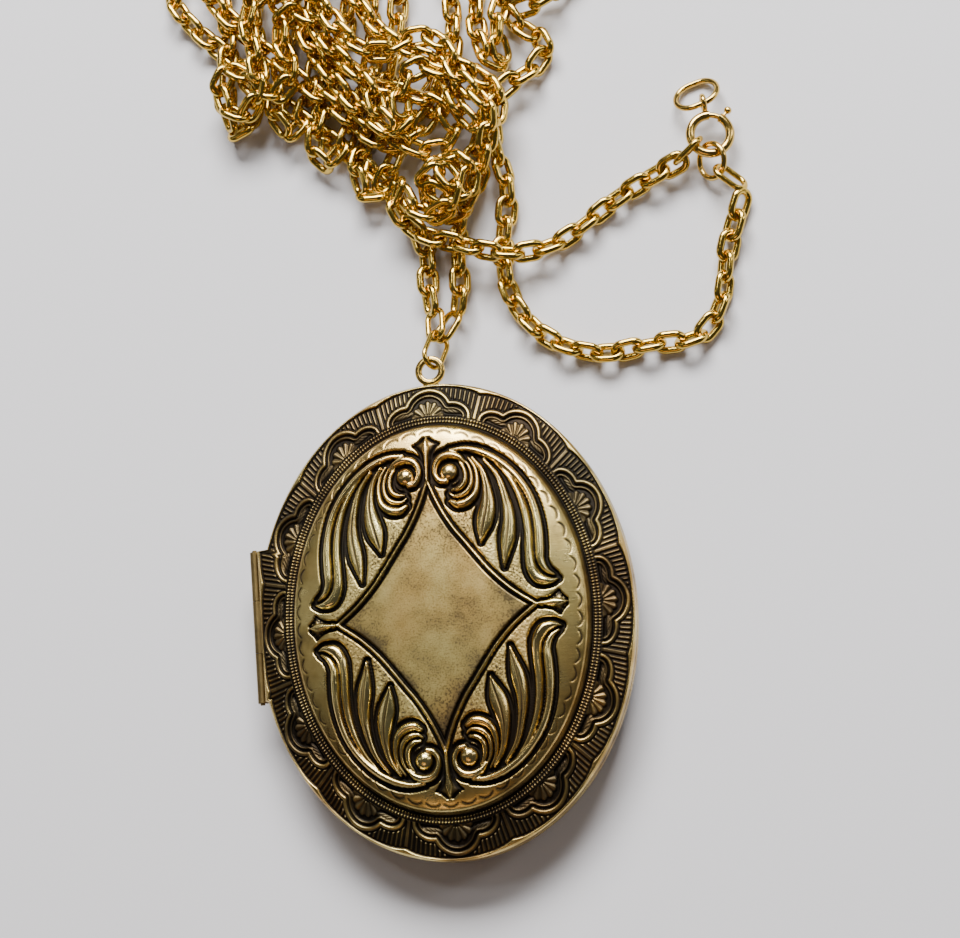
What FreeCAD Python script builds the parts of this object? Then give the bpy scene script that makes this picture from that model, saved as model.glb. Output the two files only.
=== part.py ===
import FreeCAD, Part
import Sketcher
import math
import os
from FreeCAD import Placement, Rotation, Vector

# An oval picture locket lying on its domed back, on a cable chain with a spring-ring clasp.
# Millimetres. Origin: centre of the flat on the rear cover's crown. +Z out of the front cover,
# +Y towards the bail, +X to the right seen from the front, the hinge on the -X side.

doc = FreeCAD.newDocument("Locket")
sheet = doc.addObject("Spreadsheet::Sheet", "Sizes")

SIZES = [
    # covers: half length along Y, half width along X, level away from the parting plane
    ("PartingHeight", 4.6),
    ("PartingGap", 0.03),
    ("SheetThick", 0.6),
    ("RimLength", 25.4),
    ("RimWidth", 20.5),
    ("RimLevel", 1.2),
    ("BandLength", 21.75),
    ("BandWidth", 17.3),
    ("BandLevel", 2.0),
    ("StepLength", 20.6),
    ("StepWidth", 15.95),
    ("StepLevel", 3.1),
    ("ShoulderLength", 18.9),
    ("ShoulderWidth", 14.3),
    ("ShoulderLevel", 3.9),
    ("CrownLength", 10.0),
    ("CrownWidth", 6.5),
    ("CrownLevel", 4.6),
    # inner rim plate with its collar and ledge
    ("LinerThick", 0.45),
    ("LinerGap", 0.02),
    ("CollarLength", 19.3),
    ("CollarWidth", 14.3),
    ("CollarWall", 0.5),
    ("CollarDepth", 1.8),
    ("LedgeReach", 0.8),
    ("LedgeThick", 0.2),
    # blank card, clear window and the frame ring that holds them down
    ("StackGap", 0.03),
    ("CardThick", 0.25),
    ("WindowThick", 0.3),
    ("FrameReach", 1.2),
    # hinge
    ("HingeOffset", 20.7),
    ("HingeLength", 16.4),
    ("HingeMiddle", 1.4),
    ("MiddleKnuckle", 5.6),
    ("KnuckleGap", 0.06),
    ("KnuckleRadius", 0.5),
    ("PinRadius", 0.25),
    ("PinClearance", 0.03),
    ("PinHead", 0.2),
    ("SeatOffset", 20.1),
    ("SeatDepth", 1.4),
    ("BridgeDrop", 0.08),
    ("BridgeThick", 0.34),
    ("NotchRoom", 0.1),
    ("CutMargin", 1.0),
    # snap catch
    ("CatchOffset", 16.4),
    ("CatchWidth", 3.0),
    ("CatchThick", 0.35),
    ("CatchRise", 0.4),
    ("CatchRoom", 0.15),
    # bail and pendant ring
    ("BailCentre", 27.36),
    ("BailHeight", 3.9),
    ("BailRadius", 1.22),
    ("BailWire", 0.3),
    ("NeckWidth", 2.1),
    ("NeckThick", 0.5),
    ("NeckInset", 0.4),
    ("NeckOverlap", 0.1),
    ("PendantHalfStraight", 1.0),
    ("PendantEnd", 1.25),
    ("PendantWire", 0.28),
    # chain
    ("LinkHalfStraight", 0.82),
    ("LinkEnd", 1.02),
    ("LinkWire", 0.33),
    ("ChainRadius", 1.35),
    ("HeapHeight", 5.0),
    ("HeapEdge", 1.6),
    # rings at the ends of the chain
    ("EndRingHalfStraight", 0.1),
    ("EndRingEnd", 1.75),
    ("EndRingWire", 0.32),
    ("ClaspRingHalfStraight", 0.5),
    ("ClaspRingEnd", 1.85),
    # spring-ring clasp
    ("ClaspRadius", 2.15),
    ("ClaspTube", 0.5),
    ("BoltRadius", 0.3),
    ("BoltClearance", 0.03),
    ("SlotWidth", 0.42),
    ("SlotReach", 0.6),
    ("KnobWidth", 0.34),
    ("KnobReach", 1.15),
    ("KnobHead", 0.42),
    ("EyeRadius", 0.76),
    ("EyeWire", 0.3),
    ("EyeSink", 0.12),
    ("SpringRadius", 0.18),
    ("SpringWire", 0.085),
]
for row, (alias, value) in enumerate(SIZES, start=1):
    sheet.set(f"A{row}", alias)
    sheet.set(f"B{row}", str(value))
    sheet.setAlias(f"B{row}", alias)
doc.recompute()

UP = Vector(0, 0, 1)
FRONT = 1
REAR = -1
SIDE_NAMES = {FRONT: "front", REAR: "rear"}
nodes = {}


def size(alias):
    return float(sheet.get(alias))


def bind(item, **formulas):
    """Bind properties to formulas; two underscores in a name stand for a dot."""
    for prop, formula in formulas.items():
        item.setExpression(prop.replace("__", "."), formula)


def node(item, label):
    """Name a finished sub-part, whose Label is also its file's name."""
    item.Label = label
    nodes[label] = item
    return item


def cut(name, base, tool):
    item = doc.addObject("Part::Cut", name)
    item.Base = base
    item.Tool = tool
    return item


def fuse(name, pieces):
    item = doc.addObject("Part::MultiFuse", name)
    item.Shapes = pieces
    item.Refine = True
    return item


def level_formula(side, level):
    """Height of a level measured from the parting plane into the front or the rear cover."""
    sign = "+" if side == FRONT else "-"
    return f"Sizes.PartingHeight {sign} ({level})"


def box(name, x_low, y_low, z_low, length, width, height):
    item = doc.addObject("Part::Box", name)
    bind(item, Length=length, Width=width, Height=height)
    bind(item, Placement__Base__x=x_low, Placement__Base__y=y_low, Placement__Base__z=z_low)
    return item


def level_box(name, side, x_low, y_low, length, width, low, high):
    """A box between two levels of one cover, low being the one nearer the parting plane."""
    z_low = level_formula(side, low if side == FRONT else high)
    return box(name, x_low, y_low, z_low, length, width, f"({high}) - ({low})")


# ---------------------------------------------------------------- covers

def oval_section(name, side, half_length, half_width, level):
    """A flat ellipse with its long axis along Y."""
    curve = doc.addObject("Part::Ellipse", name)
    curve.Placement = Placement(Vector(), Rotation(UP, 90))
    bind(curve, MajorRadius=half_length, MinorRadius=half_width)
    bind(curve, Placement__Base__z=level_formula(side, level))
    return curve


def oval_loft(name, side, stations):
    """A solid through ellipses given as half length, half width and level."""
    loft = doc.addObject("Part::Loft", name)
    loft.Sections = [
        oval_section(f"{name}_section_{number}", side, *station)
        for number, station in enumerate(stations, start=1)
    ]
    loft.Solid = True
    loft.Ruled = True
    return loft


def outer_stations():
    rings = [("Sizes.RimLength", "Sizes.RimWidth", "Sizes.PartingGap")]
    for ring in ("Rim", "Band", "Step", "Shoulder", "Crown"):
        rings.append((f"Sizes.{ring}Length", f"Sizes.{ring}Width", f"Sizes.{ring}Level"))
    return rings


def inner_stations():
    thick = "Sizes.SheetThick"
    rings = [(f"Sizes.RimLength - {thick}", f"Sizes.RimWidth - {thick}", "0")]
    for ring in ("Rim", "Band", "Step", "Shoulder", "Crown"):
        rings.append((f"Sizes.{ring}Length - {thick}", f"Sizes.{ring}Width - {thick}",
                      f"Sizes.{ring}Level - {thick}"))
    return rings


def cover(side):
    """A pressed oval shell, cut straight along the hinge where a flat seat closes it."""
    name = SIDE_NAMES[side]
    outer = oval_loft(f"{name}_outer", side, outer_stations())
    inner = oval_loft(f"{name}_inner", side, inner_stations())
    seat = level_box(f"{name}_seat", side, "-Sizes.SeatOffset", "Sizes.HingeMiddle - Sizes.HingeLength / 2",
                     "Sizes.SeatDepth", "Sizes.HingeLength", "Sizes.PartingGap", "Sizes.RimLevel")
    notch = level_box(f"{name}_notch", side, "-Sizes.RimWidth - Sizes.CutMargin",
                      "Sizes.HingeMiddle - Sizes.HingeLength / 2 - Sizes.NotchRoom",
                      "Sizes.RimWidth + Sizes.CutMargin - Sizes.SeatOffset",
                      "Sizes.HingeLength + 2 * Sizes.NotchRoom",
                      "-Sizes.CutMargin", "Sizes.RimLevel + Sizes.CutMargin")
    solid = fuse(f"{name}_solid", [outer, seat])
    shell = cut(f"{name}_shell", solid, inner)
    node(cut(f"{name}_cover_part", shell, notch), f"{name}_cover")
    return outer


# ---------------------------------------------------------------- inside the covers

def oval_plate(name, side, half_length, half_width, low, high):
    """An elliptical plate between two levels of one cover."""
    start = low if side == FRONT else high
    curve = oval_section(f"{name}_outline", side, half_length, half_width, start)
    plate = doc.addObject("Part::Extrusion", name)
    plate.Base = curve
    plate.DirMode = "Custom"
    plate.Dir = UP
    plate.Solid = True
    bind(plate, LengthFwd=f"({high}) - ({low})")
    return plate


def liner(side):
    """Flat rim plate with a collar and a ledge that hold the picture stack."""
    name = SIDE_NAMES[side]
    wall = "(Sizes.SheetThick + Sizes.LinerGap)"
    low = "Sizes.PartingGap"
    depth = "Sizes.CollarDepth"
    plate = oval_plate(f"{name}_liner_plate", side, f"Sizes.RimLength - {wall}",
                       f"Sizes.RimWidth - {wall}", low, f"{low} + Sizes.LinerThick")
    collar = oval_plate(f"{name}_liner_collar", side, "Sizes.CollarLength + Sizes.CollarWall",
                        "Sizes.CollarWidth + Sizes.CollarWall", low, depth)
    pocket = oval_plate(f"{name}_liner_pocket", side, "Sizes.CollarLength", "Sizes.CollarWidth",
                        "0", f"{depth} - Sizes.LedgeThick")
    through = oval_plate(f"{name}_liner_hole", side, "Sizes.CollarLength - Sizes.LedgeReach",
                         "Sizes.CollarWidth - Sizes.LedgeReach", "0", f"{depth} + Sizes.CutMargin")
    solid = fuse(f"{name}_liner_solid", [plate, collar])
    return cut(f"{name}_liner_bored", solid, fuse(f"{name}_liner_room", [pocket, through]))


def picture_stack(side):
    """Blank card on the ledge, clear window on the card, frame ring flush with the rim plate."""
    name = SIDE_NAMES[side]
    length = "Sizes.CollarLength - Sizes.StackGap"
    width = "Sizes.CollarWidth - Sizes.StackGap"
    floor = "Sizes.CollarDepth - Sizes.LedgeThick"
    card_top = f"{floor} - Sizes.CardThick"
    window_top = f"{card_top} - Sizes.WindowThick"
    node(oval_plate(f"{name}_card", side, length, width, card_top, floor), f"{name}_photo_card")
    node(oval_plate(f"{name}_window", side, length, width, window_top, card_top), f"{name}_photo_window")
    ring = oval_plate(f"{name}_frame_disc", side, length, width, "Sizes.PartingGap", window_top)
    hole = oval_plate(f"{name}_frame_hole", side, f"{length} - Sizes.FrameReach",
                      f"{width} - Sizes.FrameReach", "0", f"{window_top} + Sizes.CutMargin")
    node(cut(f"{name}_frame", ring, hole), f"{name}_photo_frame")


def snap_catch():
    """A tongue standing on the rear rim plate, and the clear notch for it in the front one."""
    body = doc.addObject("PartDesign::Body", "snap_catch_body")
    outline = sketch_on(body, "snap_catch_outline", "XZ_Plane")
    half = size("CatchThick") / 2
    top = size("CatchRise")
    foot = -size("PartingGap")
    corners = [(-half, foot), (half, foot), (half, top / 2), (half / 2, top), (-half, top)]
    polygon(outline, corners)
    pad = body.newObject("PartDesign::Pad", "snap_catch_pad")
    pad.Profile = outline
    pad.Midplane = True
    bind(pad, Length="Sizes.CatchWidth")
    bind(body, Placement__Base__x="Sizes.CatchOffset", Placement__Base__z="Sizes.PartingHeight")
    node(body, "snap_catch")
    return level_box("snap_notch", FRONT, "Sizes.CatchOffset - Sizes.CatchThick / 2 - Sizes.CatchRoom",
                     "-Sizes.CatchWidth / 2 - Sizes.CatchRoom", "Sizes.CatchThick + 2 * Sizes.CatchRoom",
                     "Sizes.CatchWidth + 2 * Sizes.CatchRoom", "0", "Sizes.LinerThick + Sizes.CutMargin")


# ---------------------------------------------------------------- sketches

def sketch_on(body, name, role):
    """A sketch on one of its own body's origin planes."""
    outline = body.newObject("Sketcher::SketchObject", name)
    plane = next(item for item in body.Origin.OriginFeatures if item.Role == role)
    outline.AttachmentSupport = (plane, [""])
    outline.MapMode = "FlatFace"
    return outline


def polygon(outline, corners):
    """Closed straight-sided outline with its ends joined and its corners held."""
    points = [Vector(x, y, 0) for x, y in corners]
    for start, end in zip(points, points[1:] + points[:1]):
        outline.addGeometry(Part.LineSegment(start, end), False)
    for number in range(len(points)):
        following = (number + 1) % len(points)
        outline.addConstraint(Sketcher.Constraint("Coincident", number, 2, following, 1))
    for number, point in enumerate(points):
        outline.addConstraint(Sketcher.Constraint("DistanceX", number, 1, point.x))
        outline.addConstraint(Sketcher.Constraint("DistanceY", number, 1, point.y))


def circle(outline, radius):
    """A circle about the sketch's origin whose radius follows the sheet."""
    index = outline.addGeometry(Part.Circle(Vector(), UP, 1.0), False)
    outline.addConstraint(Sketcher.Constraint("Coincident", index, 3, -1, 1))
    number = outline.addConstraint(Sketcher.Constraint("Radius", index, 1.0))
    outline.setExpression(f"Constraints[{number}]", radius)


# ---------------------------------------------------------------- hinge

def hinge_rod(name, y_low, length, radius):
    """A cylinder along the hinge axis."""
    rod = doc.addObject("Part::Cylinder", name)
    rod.Placement = Placement(Vector(), Rotation(Vector(1, 0, 0), -90))
    bind(rod, Radius=radius, Height=length)
    bind(rod, Placement__Base__x="-Sizes.HingeOffset", Placement__Base__y=y_low,
         Placement__Base__z="Sizes.PartingHeight")
    return rod


def knuckle(name, side, y_low, length):
    """One barrel with the bridge that joins it to its cover's flat seat."""
    barrel = hinge_rod(f"{name}_barrel", y_low, length, "Sizes.KnuckleRadius")
    bridge = level_box(f"{name}_bridge", side, "-Sizes.HingeOffset", y_low,
                       "Sizes.HingeOffset - Sizes.SeatOffset", length,
                       "Sizes.BridgeDrop", "Sizes.BridgeDrop + Sizes.BridgeThick")
    bore = hinge_rod(f"{name}_bore", f"{y_low} - Sizes.CutMargin", f"{length} + 2 * Sizes.CutMargin",
                     "Sizes.PinRadius + Sizes.PinClearance")
    return cut(name, fuse(f"{name}_solid", [barrel, bridge]), bore)


def hinge():
    """Two rear knuckles, one front knuckle between them and a pin with a head at each end."""
    outer = "(Sizes.HingeLength - Sizes.MiddleKnuckle) / 2 - Sizes.KnuckleGap"
    low = knuckle("rear_knuckle_low", REAR, "Sizes.HingeMiddle - Sizes.HingeLength / 2", outer)
    high = knuckle("rear_knuckle_high", REAR,
                   "Sizes.HingeMiddle + Sizes.MiddleKnuckle / 2 + Sizes.KnuckleGap", outer)
    pair = doc.addObject("Part::Compound", "rear_knuckle_pair")
    pair.Links = [low, high]
    node(pair, "rear_hinge_knuckles")
    middle = knuckle("front_knuckle", FRONT, "Sizes.HingeMiddle - Sizes.MiddleKnuckle / 2",
                     "Sizes.MiddleKnuckle")
    node(middle, "front_hinge_knuckle")
    body = doc.addObject("PartDesign::Body", "hinge_pin_body")
    round_section = sketch_on(body, "hinge_pin_section", "XZ_Plane")
    circle(round_section, "Sizes.PinRadius")
    shank = body.newObject("PartDesign::Pad", "hinge_pin_shank")
    shank.Profile = round_section
    shank.Midplane = True
    bind(shank, Length="Sizes.HingeLength + 2 * Sizes.PinHead")
    bind(body, Placement__Base__x="-Sizes.HingeOffset", Placement__Base__y="Sizes.HingeMiddle",
         Placement__Base__z="Sizes.PartingHeight")
    node(body, "hinge_pin")


# ---------------------------------------------------------------- rings

def torus(name, radius, wire, start=0.0, sweep=360.0):
    """A ring of round wire about Z, or the part of one from start through sweep degrees."""
    ring = doc.addObject("Part::Torus", name)
    ring.Angle3 = sweep
    ring.Placement = Placement(Vector(), Rotation(UP, start))
    bind(ring, Radius1=radius, Radius2=wire)
    return ring


def bail(cover_solid):
    """A round wire ring on a flat neck soldered to the rear cover's side wall."""
    ring = torus("bail_ring", "Sizes.BailRadius", "Sizes.BailWire")
    bind(ring, Placement__Base__y="Sizes.BailCentre", Placement__Base__z="Sizes.BailHeight")
    neck = box("bail_neck", "-Sizes.NeckWidth / 2", "Sizes.RimLength - Sizes.NeckInset",
               "Sizes.BailHeight - Sizes.NeckThick / 2", "Sizes.NeckWidth",
               "Sizes.BailCentre - Sizes.BailRadius - Sizes.RimLength"
               " + Sizes.NeckInset + Sizes.NeckOverlap", "Sizes.NeckThick")
    node(cut("bail_part", fuse("bail_solid", [ring, neck]), cover_solid), "bail_loop")


def oval_ring(name, straight, end, wire):
    """A wire ring with two straight sides along X and two half-round ends."""
    pieces = []
    for number, (start, sign) in enumerate([(-90.0, ""), (90.0, "-")]):
        turn = torus(f"{name}_end_{number}", end, wire, start, 180.0)
        bind(turn, Placement__Base__x=f"{sign}{straight}")
        pieces.append(turn)
    for number, sign in enumerate(["", "-"]):
        bar = doc.addObject("Part::Cylinder", f"{name}_side_{number}")
        bar.Placement = Placement(Vector(), Rotation(Vector(0, 1, 0), 90))
        bind(bar, Radius=wire, Height=f"2 * {straight}")
        bind(bar, Placement__Base__x=f"-{straight}", Placement__Base__y=f"{sign}{end}")
        pieces.append(bar)
    return fuse(name, pieces)


# Where each ring or link lies: its middle, then its long axis's heading round Z, its dip and its roll.
PENDANT_POSE = Placement(Vector(0.61, 29.83, 3.14), Rotation(74.4, 28.3, 51.8))
LEAD_LEFT_POSE = Placement(Vector(0.55, 32.88, 2.29), Rotation(94.4, 19.1, -26.0))
LEAD_RIGHT_POSE = Placement(Vector(1.85, 32.58, 1.83), Rotation(57.2, 10.2, 149.2))
END_RING_POSE = Placement(Vector(32.285, 46.98, 2.01), Rotation(-101.9, 20.8, 31.0))
CLASP_LINK_POSE = Placement(Vector(29.87, 48.35, 2.44), Rotation(216.0, 8.0, 76.2))
RING_LINK_POSE = Placement(Vector(34.09, 44.86, 2.0), Rotation(-42.7, 10.1, -51.7))


def link(label, pose):
    """One chain link."""
    ring = oval_ring(f"{label}_ring", "Sizes.LinkHalfStraight", "Sizes.LinkEnd", "Sizes.LinkWire")
    ring.Placement = pose
    return node(ring, label)


def pendant_and_leads():
    """The oval ring through the bail, and the first chain link of each strand through it."""
    ring = oval_ring("pendant", "Sizes.PendantHalfStraight", "Sizes.PendantEnd", "Sizes.PendantWire")
    ring.Placement = PENDANT_POSE
    node(ring, "pendant_ring")
    link("lead_link_left", LEAD_LEFT_POSE)
    link("lead_link_right", LEAD_RIGHT_POSE)


# ---------------------------------------------------------------- chain

ARC_SHARE = 0.45

LEAD_LEFT = [(0.2, 34.6, 1.7), (-0.2, 37.4, 1.75), (0.2, 40.8, 2.0)]
LEAD_RIGHT = [(3.0, 34.2, 1.5), (3.6, 36.8, 1.6), (3.5, 40.4, 1.9)]
LOOP = [
    (9.0, 52.6, 2.0), (9.9, 46.8, 1.5), (8.3, 40.8, 1.5), (9.0, 34.8, 1.5), (12.6, 29.9, 1.5),
    (18.2, 27.3, 1.5), (24.2, 27.9, 1.5), (29.6, 27.8, 1.5), (32.1, 32.2, 1.5), (32.8, 37.4, 1.5),
    (35.55, 43.5, 1.75),
]
TAIL = [
    (5.2, 42.2, 4.3), (7.6, 39.9, 4.4), (10.4, 39.4, 4.3), (14.6, 40.2, 2.0), (18.4, 42.5, 1.6),
    (22.8, 45.2, 1.6), (28.2, 47.2, 2.0),
]
HEAP = [
    (0.0, 40.0), (4.6, 39.6), (7.2, 43.0), (7.3, 51.6), (10.4, 52.2), (11.6, 56.6), (15.6, 60.6),
    (19.6, 68.0), (19.0, 76.0), (-4.0, 79.0), (-28.5, 82.0), (-29.0, 71.5), (-24.0, 66.4),
    (-23.4, 59.2), (-20.4, 55.6), (-16.0, 56.6), (-9.4, 50.4), (-4.6, 46.6),
]


def tube(label, route):
    """A plain tube along straight runs joined by tangent arcs as large as the runs allow."""
    points = [Vector(*point) for point in route]
    edges = []
    radii = []
    start = points[0]
    for before, corner, after in zip(points, points[1:], points[2:]):
        arriving = corner - before
        leaving = after - corner
        setback = ARC_SHARE * min(arriving.Length, leaving.Length)
        half_turn = arriving.getAngle(leaving) / 2
        radius = setback / math.tan(half_turn)
        arriving.normalize()
        leaving.normalize()
        arc_start = corner - arriving * setback
        arc_end = corner + leaving * setback
        inward = (leaving - arriving).normalize()
        arc_middle = corner + inward * (radius / math.cos(half_turn) - radius)
        edges.append(Part.LineSegment(start, arc_start).toShape())
        edges.append(Part.Arc(arc_start, arc_middle, arc_end).toShape())
        radii.append(radius)
        start = arc_end
    edges.append(Part.LineSegment(start, points[-1]).toShape())
    path = Part.Wire(edges)
    section = Part.Wire(Part.Circle(points[0], points[1] - points[0], size("ChainRadius")).toShape())
    item = doc.addObject("Part::Feature", f"{label}_tube")
    item.Shape = path.makePipeShell([section], True, False)
    item.Placement = Placement()
    expected = math.pi * size("ChainRadius") ** 2 * path.Length
    print(f"{label}: length {path.Length:.1f}, volume ratio {item.Shape.Volume / expected:.4f}, "
          f"radii {', '.join(f'{radius:.1f}' for radius in radii)}")
    return node(item, label)


def heap():
    """The outer shape of the folded strands, a low mound with sloping edges."""
    body = doc.addObject("PartDesign::Body", "chain_heap_body")
    outline = sketch_on(body, "chain_heap_outline", "XY_Plane")
    polygon(outline, HEAP)
    mound = body.newObject("PartDesign::Pad", "chain_heap_mound")
    mound.Profile = outline
    bind(mound, Length="Sizes.HeapHeight")
    doc.recompute()
    top = max(range(len(mound.Shape.Faces)), key=lambda index: mound.Shape.Faces[index].CenterOfMass.z)
    slope = body.newObject("PartDesign::Chamfer", "chain_heap_slope")
    slope.Base = (mound, [f"Face{top + 1}"])
    bind(slope, Size="Sizes.HeapEdge")
    node(body, "chain_heap")


# ---------------------------------------------------------------- clasp and end rings

CLASP_PLACE = Placement(Vector(32.4, 49.9, 2.25), Rotation(Vector(0, 1, 0), 12))
GAP_START = 58.0
GAP_END = 88.0
SLOT_START = 4.0
SLOT_END = 56.0
KNOB_ANGLE = 50.0
BOLT_START = 22.0
BOLT_END = 96.0
EYE_ANGLE = 97.0
RING_HEADING = 14.7
RING_DIP = 31.0
RING_SLIDE = 0.4
SPRING_START = -75.0
SPRING_ROOM = 4.0
SPRING_TURNS = 12
SPRING_STEPS = 8
SQUARE = [(1, 1), (-1, 1), (-1, -1), (1, -1)]


def turned(angle, offset, rotation):
    """A place at an angle round the clasp's ring, in the clasp's own tilted frame."""
    swing = Placement(Vector(), Rotation(UP, angle))
    return CLASP_PLACE.multiply(swing).multiply(Placement(offset, rotation))


def placed_torus(name, radius, wire, start, sweep):
    """A piece of the clasp's ring in the clasp's own tilted frame."""
    ring = torus(name, radius, wire, start, sweep)
    ring.Placement = turned(start, Vector(), Rotation())
    return ring


def clasp_case():
    """A tube bent to an open ring, with a slot along its outer side for the trigger."""
    sweep = 360.0 - (GAP_END - GAP_START)
    case = placed_torus("clasp_case_outer", "Sizes.ClaspRadius", "Sizes.ClaspTube", GAP_END, sweep)
    bore = placed_torus("clasp_case_bore", "Sizes.ClaspRadius",
                        "Sizes.BoltRadius + Sizes.BoltClearance", 0.0, 360.0)
    slot_outer = doc.addObject("Part::Cylinder", "clasp_slot_outer")
    slot_outer.Angle = SLOT_END - SLOT_START
    bind(slot_outer, Radius="Sizes.ClaspRadius + Sizes.SlotReach", Height="Sizes.SlotWidth")
    slot_outer.Placement = turned(SLOT_START, Vector(0, 0, -size("SlotWidth") / 2), Rotation())
    slot_inner = doc.addObject("Part::Cylinder", "clasp_slot_inner")
    bind(slot_inner, Radius="Sizes.ClaspRadius", Height="3 * Sizes.SlotWidth")
    slot_inner.Placement = turned(0.0, Vector(0, 0, -1.5 * size("SlotWidth")), Rotation())
    slot = cut("clasp_slot", slot_outer, slot_inner)
    node(cut("clasp_case", cut("clasp_tube", case, bore), slot), "clasp_body")
    return case


def clasp_bolt():
    """The curved bolt that closes the ring, and the knob that pulls it back."""
    bolt = placed_torus("clasp_bolt_rod", "Sizes.ClaspRadius", "Sizes.BoltRadius",
                        BOLT_START, BOLT_END - BOLT_START)
    node(bolt, "clasp_bolt")
    stem = doc.addObject("Part::Cylinder", "clasp_knob_stem")
    bind(stem, Radius="Sizes.KnobWidth / 2", Height="Sizes.KnobReach")
    stem.Placement = turned(KNOB_ANGLE, Vector(size("ClaspRadius"), 0, 0), Rotation(Vector(0, 1, 0), 90))
    head = doc.addObject("Part::Sphere", "clasp_knob_head")
    bind(head, Radius="Sizes.KnobHead")
    head.Placement = turned(KNOB_ANGLE, Vector(size("ClaspRadius") + size("KnobReach"), 0, 0), Rotation())
    node(cut("clasp_knob", fuse("clasp_knob_solid", [stem, head]), bolt), "clasp_trigger")


def clasp_spring():
    """The square-wire coil spring behind the bolt, bent round inside the tube."""
    total = SPRING_TURNS * SPRING_STEPS
    reach = BOLT_START - SPRING_ROOM - SPRING_START
    points = []
    for step in range(total + 1):
        around = math.radians(SPRING_START + reach * step / total)
        coil = 2 * math.pi * step / SPRING_STEPS
        out = size("ClaspRadius") + size("SpringRadius") * math.cos(coil)
        points.append(Vector(out * math.cos(around), out * math.sin(around),
                             size("SpringRadius") * math.sin(coil)))
    line = Part.BSplineCurve()
    line.interpolate(points)
    path = Part.Wire(line.toShape())
    out = Vector(points[0].x, points[0].y, 0).normalize() * size("SpringWire")
    rise = line.tangent(0)[0].cross(out).normalize() * size("SpringWire")
    corners = [points[0] + out * outward + rise * upward for outward, upward in SQUARE]
    section = Part.makePolygon([*corners, corners[0]])
    item = doc.addObject("Part::Feature", "clasp_spring_coil")
    item.Shape = path.makePipeShell([section], True, False)
    item.Placement = CLASP_PLACE
    node(item, "clasp_spring")


def clasp_eye(case):
    """A closed loop standing on the tube, at right angles to the clasp's ring."""
    eye = torus("clasp_eye_ring", "Sizes.EyeRadius", "Sizes.EyeWire")
    reach = size("ClaspRadius") + size("ClaspTube") + size("EyeRadius") + size("EyeWire") - size("EyeSink")
    eye.Placement = turned(EYE_ANGLE, Vector(reach, 0, 0), Rotation(Vector(1, 0, 0), 90))
    node(cut("clasp_eye_part", eye, case), "clasp_eye")
    return eye.Placement.Base


def end_rings(eye_centre):
    """The ring held by the clasp, the oval ring on its eye and the last link of each strand."""
    ring = oval_ring("end_ring", "Sizes.EndRingHalfStraight", "Sizes.EndRingEnd", "Sizes.EndRingWire")
    ring.Placement = END_RING_POSE
    node(ring, "chain_end_ring")
    free = oval_ring("clasp_ring_oval", "Sizes.ClaspRingHalfStraight", "Sizes.ClaspRingEnd",
                     "Sizes.EndRingWire")
    lie = Rotation(RING_HEADING, 0, -RING_DIP)
    offset = Vector(-RING_SLIDE, size("ClaspRingEnd"), 0)
    free.Placement = Placement(eye_centre + lie.multVec(offset), lie)
    node(free, "clasp_ring")
    link("clasp_end_link", CLASP_LINK_POSE)
    link("ring_end_link", RING_LINK_POSE)


rear_solid = cover(REAR)
cover(FRONT)
notch = snap_catch()
node(liner(REAR), "rear_liner")
node(cut("front_liner_part", liner(FRONT), notch), "front_liner")
for cover_side in (REAR, FRONT):
    picture_stack(cover_side)
hinge()
bail(rear_solid)
pendant_and_leads()
tube("chain_lead_left", LEAD_LEFT)
tube("chain_lead_right", LEAD_RIGHT)
heap()
tube("chain_loop", LOOP)
tube("chain_tail", TAIL)
case_solid = clasp_case()
clasp_bolt()
clasp_spring()
end_rings(clasp_eye(case_solid))

# ---------------------------------------------------------------- check and write

doc.recompute()
for item in doc.Objects:
    if "Invalid" in item.State or "Error" in item.State:
        raise RuntimeError(f"{item.Name} did not build: {item.State}")
for label, item in nodes.items():
    if item.Shape.isNull() or not item.Shape.isValid():
        raise RuntimeError(f"{label} has no valid solid")

os.makedirs("parts", exist_ok=True)
for label, item in nodes.items():
    item.Shape.exportStep(f"parts/{label}.step")
print(f"{len(nodes)} sub-parts written")
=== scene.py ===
import math
import random

import bpy
import numpy as np
from mathutils import Matrix, Vector


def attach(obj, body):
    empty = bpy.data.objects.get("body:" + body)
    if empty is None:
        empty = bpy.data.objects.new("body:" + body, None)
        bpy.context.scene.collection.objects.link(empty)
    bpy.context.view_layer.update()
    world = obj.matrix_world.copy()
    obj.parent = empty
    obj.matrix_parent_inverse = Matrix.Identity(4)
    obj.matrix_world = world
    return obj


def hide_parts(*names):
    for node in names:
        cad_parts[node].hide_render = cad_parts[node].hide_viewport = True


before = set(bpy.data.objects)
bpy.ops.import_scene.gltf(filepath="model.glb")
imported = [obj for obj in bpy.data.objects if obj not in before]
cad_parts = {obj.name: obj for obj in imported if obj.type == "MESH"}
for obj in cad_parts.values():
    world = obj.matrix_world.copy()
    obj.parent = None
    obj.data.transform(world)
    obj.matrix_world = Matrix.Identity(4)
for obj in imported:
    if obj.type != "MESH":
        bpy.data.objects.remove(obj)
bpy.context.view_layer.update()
MM = 0.001

# Measures are in mm and angles in degrees, unless a comment says otherwise.

# ---------------------------------------------------------------- camera and lights
CAMERA_AIM = (3.83, 16.81, 0.0)
CAMERA_DISTANCE = 308.3
SIDE_LEAN = 12.8
FRONT_LEAN = 12.5
CAMERA_ROLL = -4.2
FOCAL_LENGTH = 106.9
SENSOR_WIDTH = 36.0
NEAREST_SEEN = 10.0

WHITE = (1, 1, 1)
WARM = (1.0, 0.6, 0.32)
LOCKET_MIDDLE = (0, 0, 0)
BETWEEN_CHAIN_AND_LOCKET = (0, 15, 0)
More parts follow.
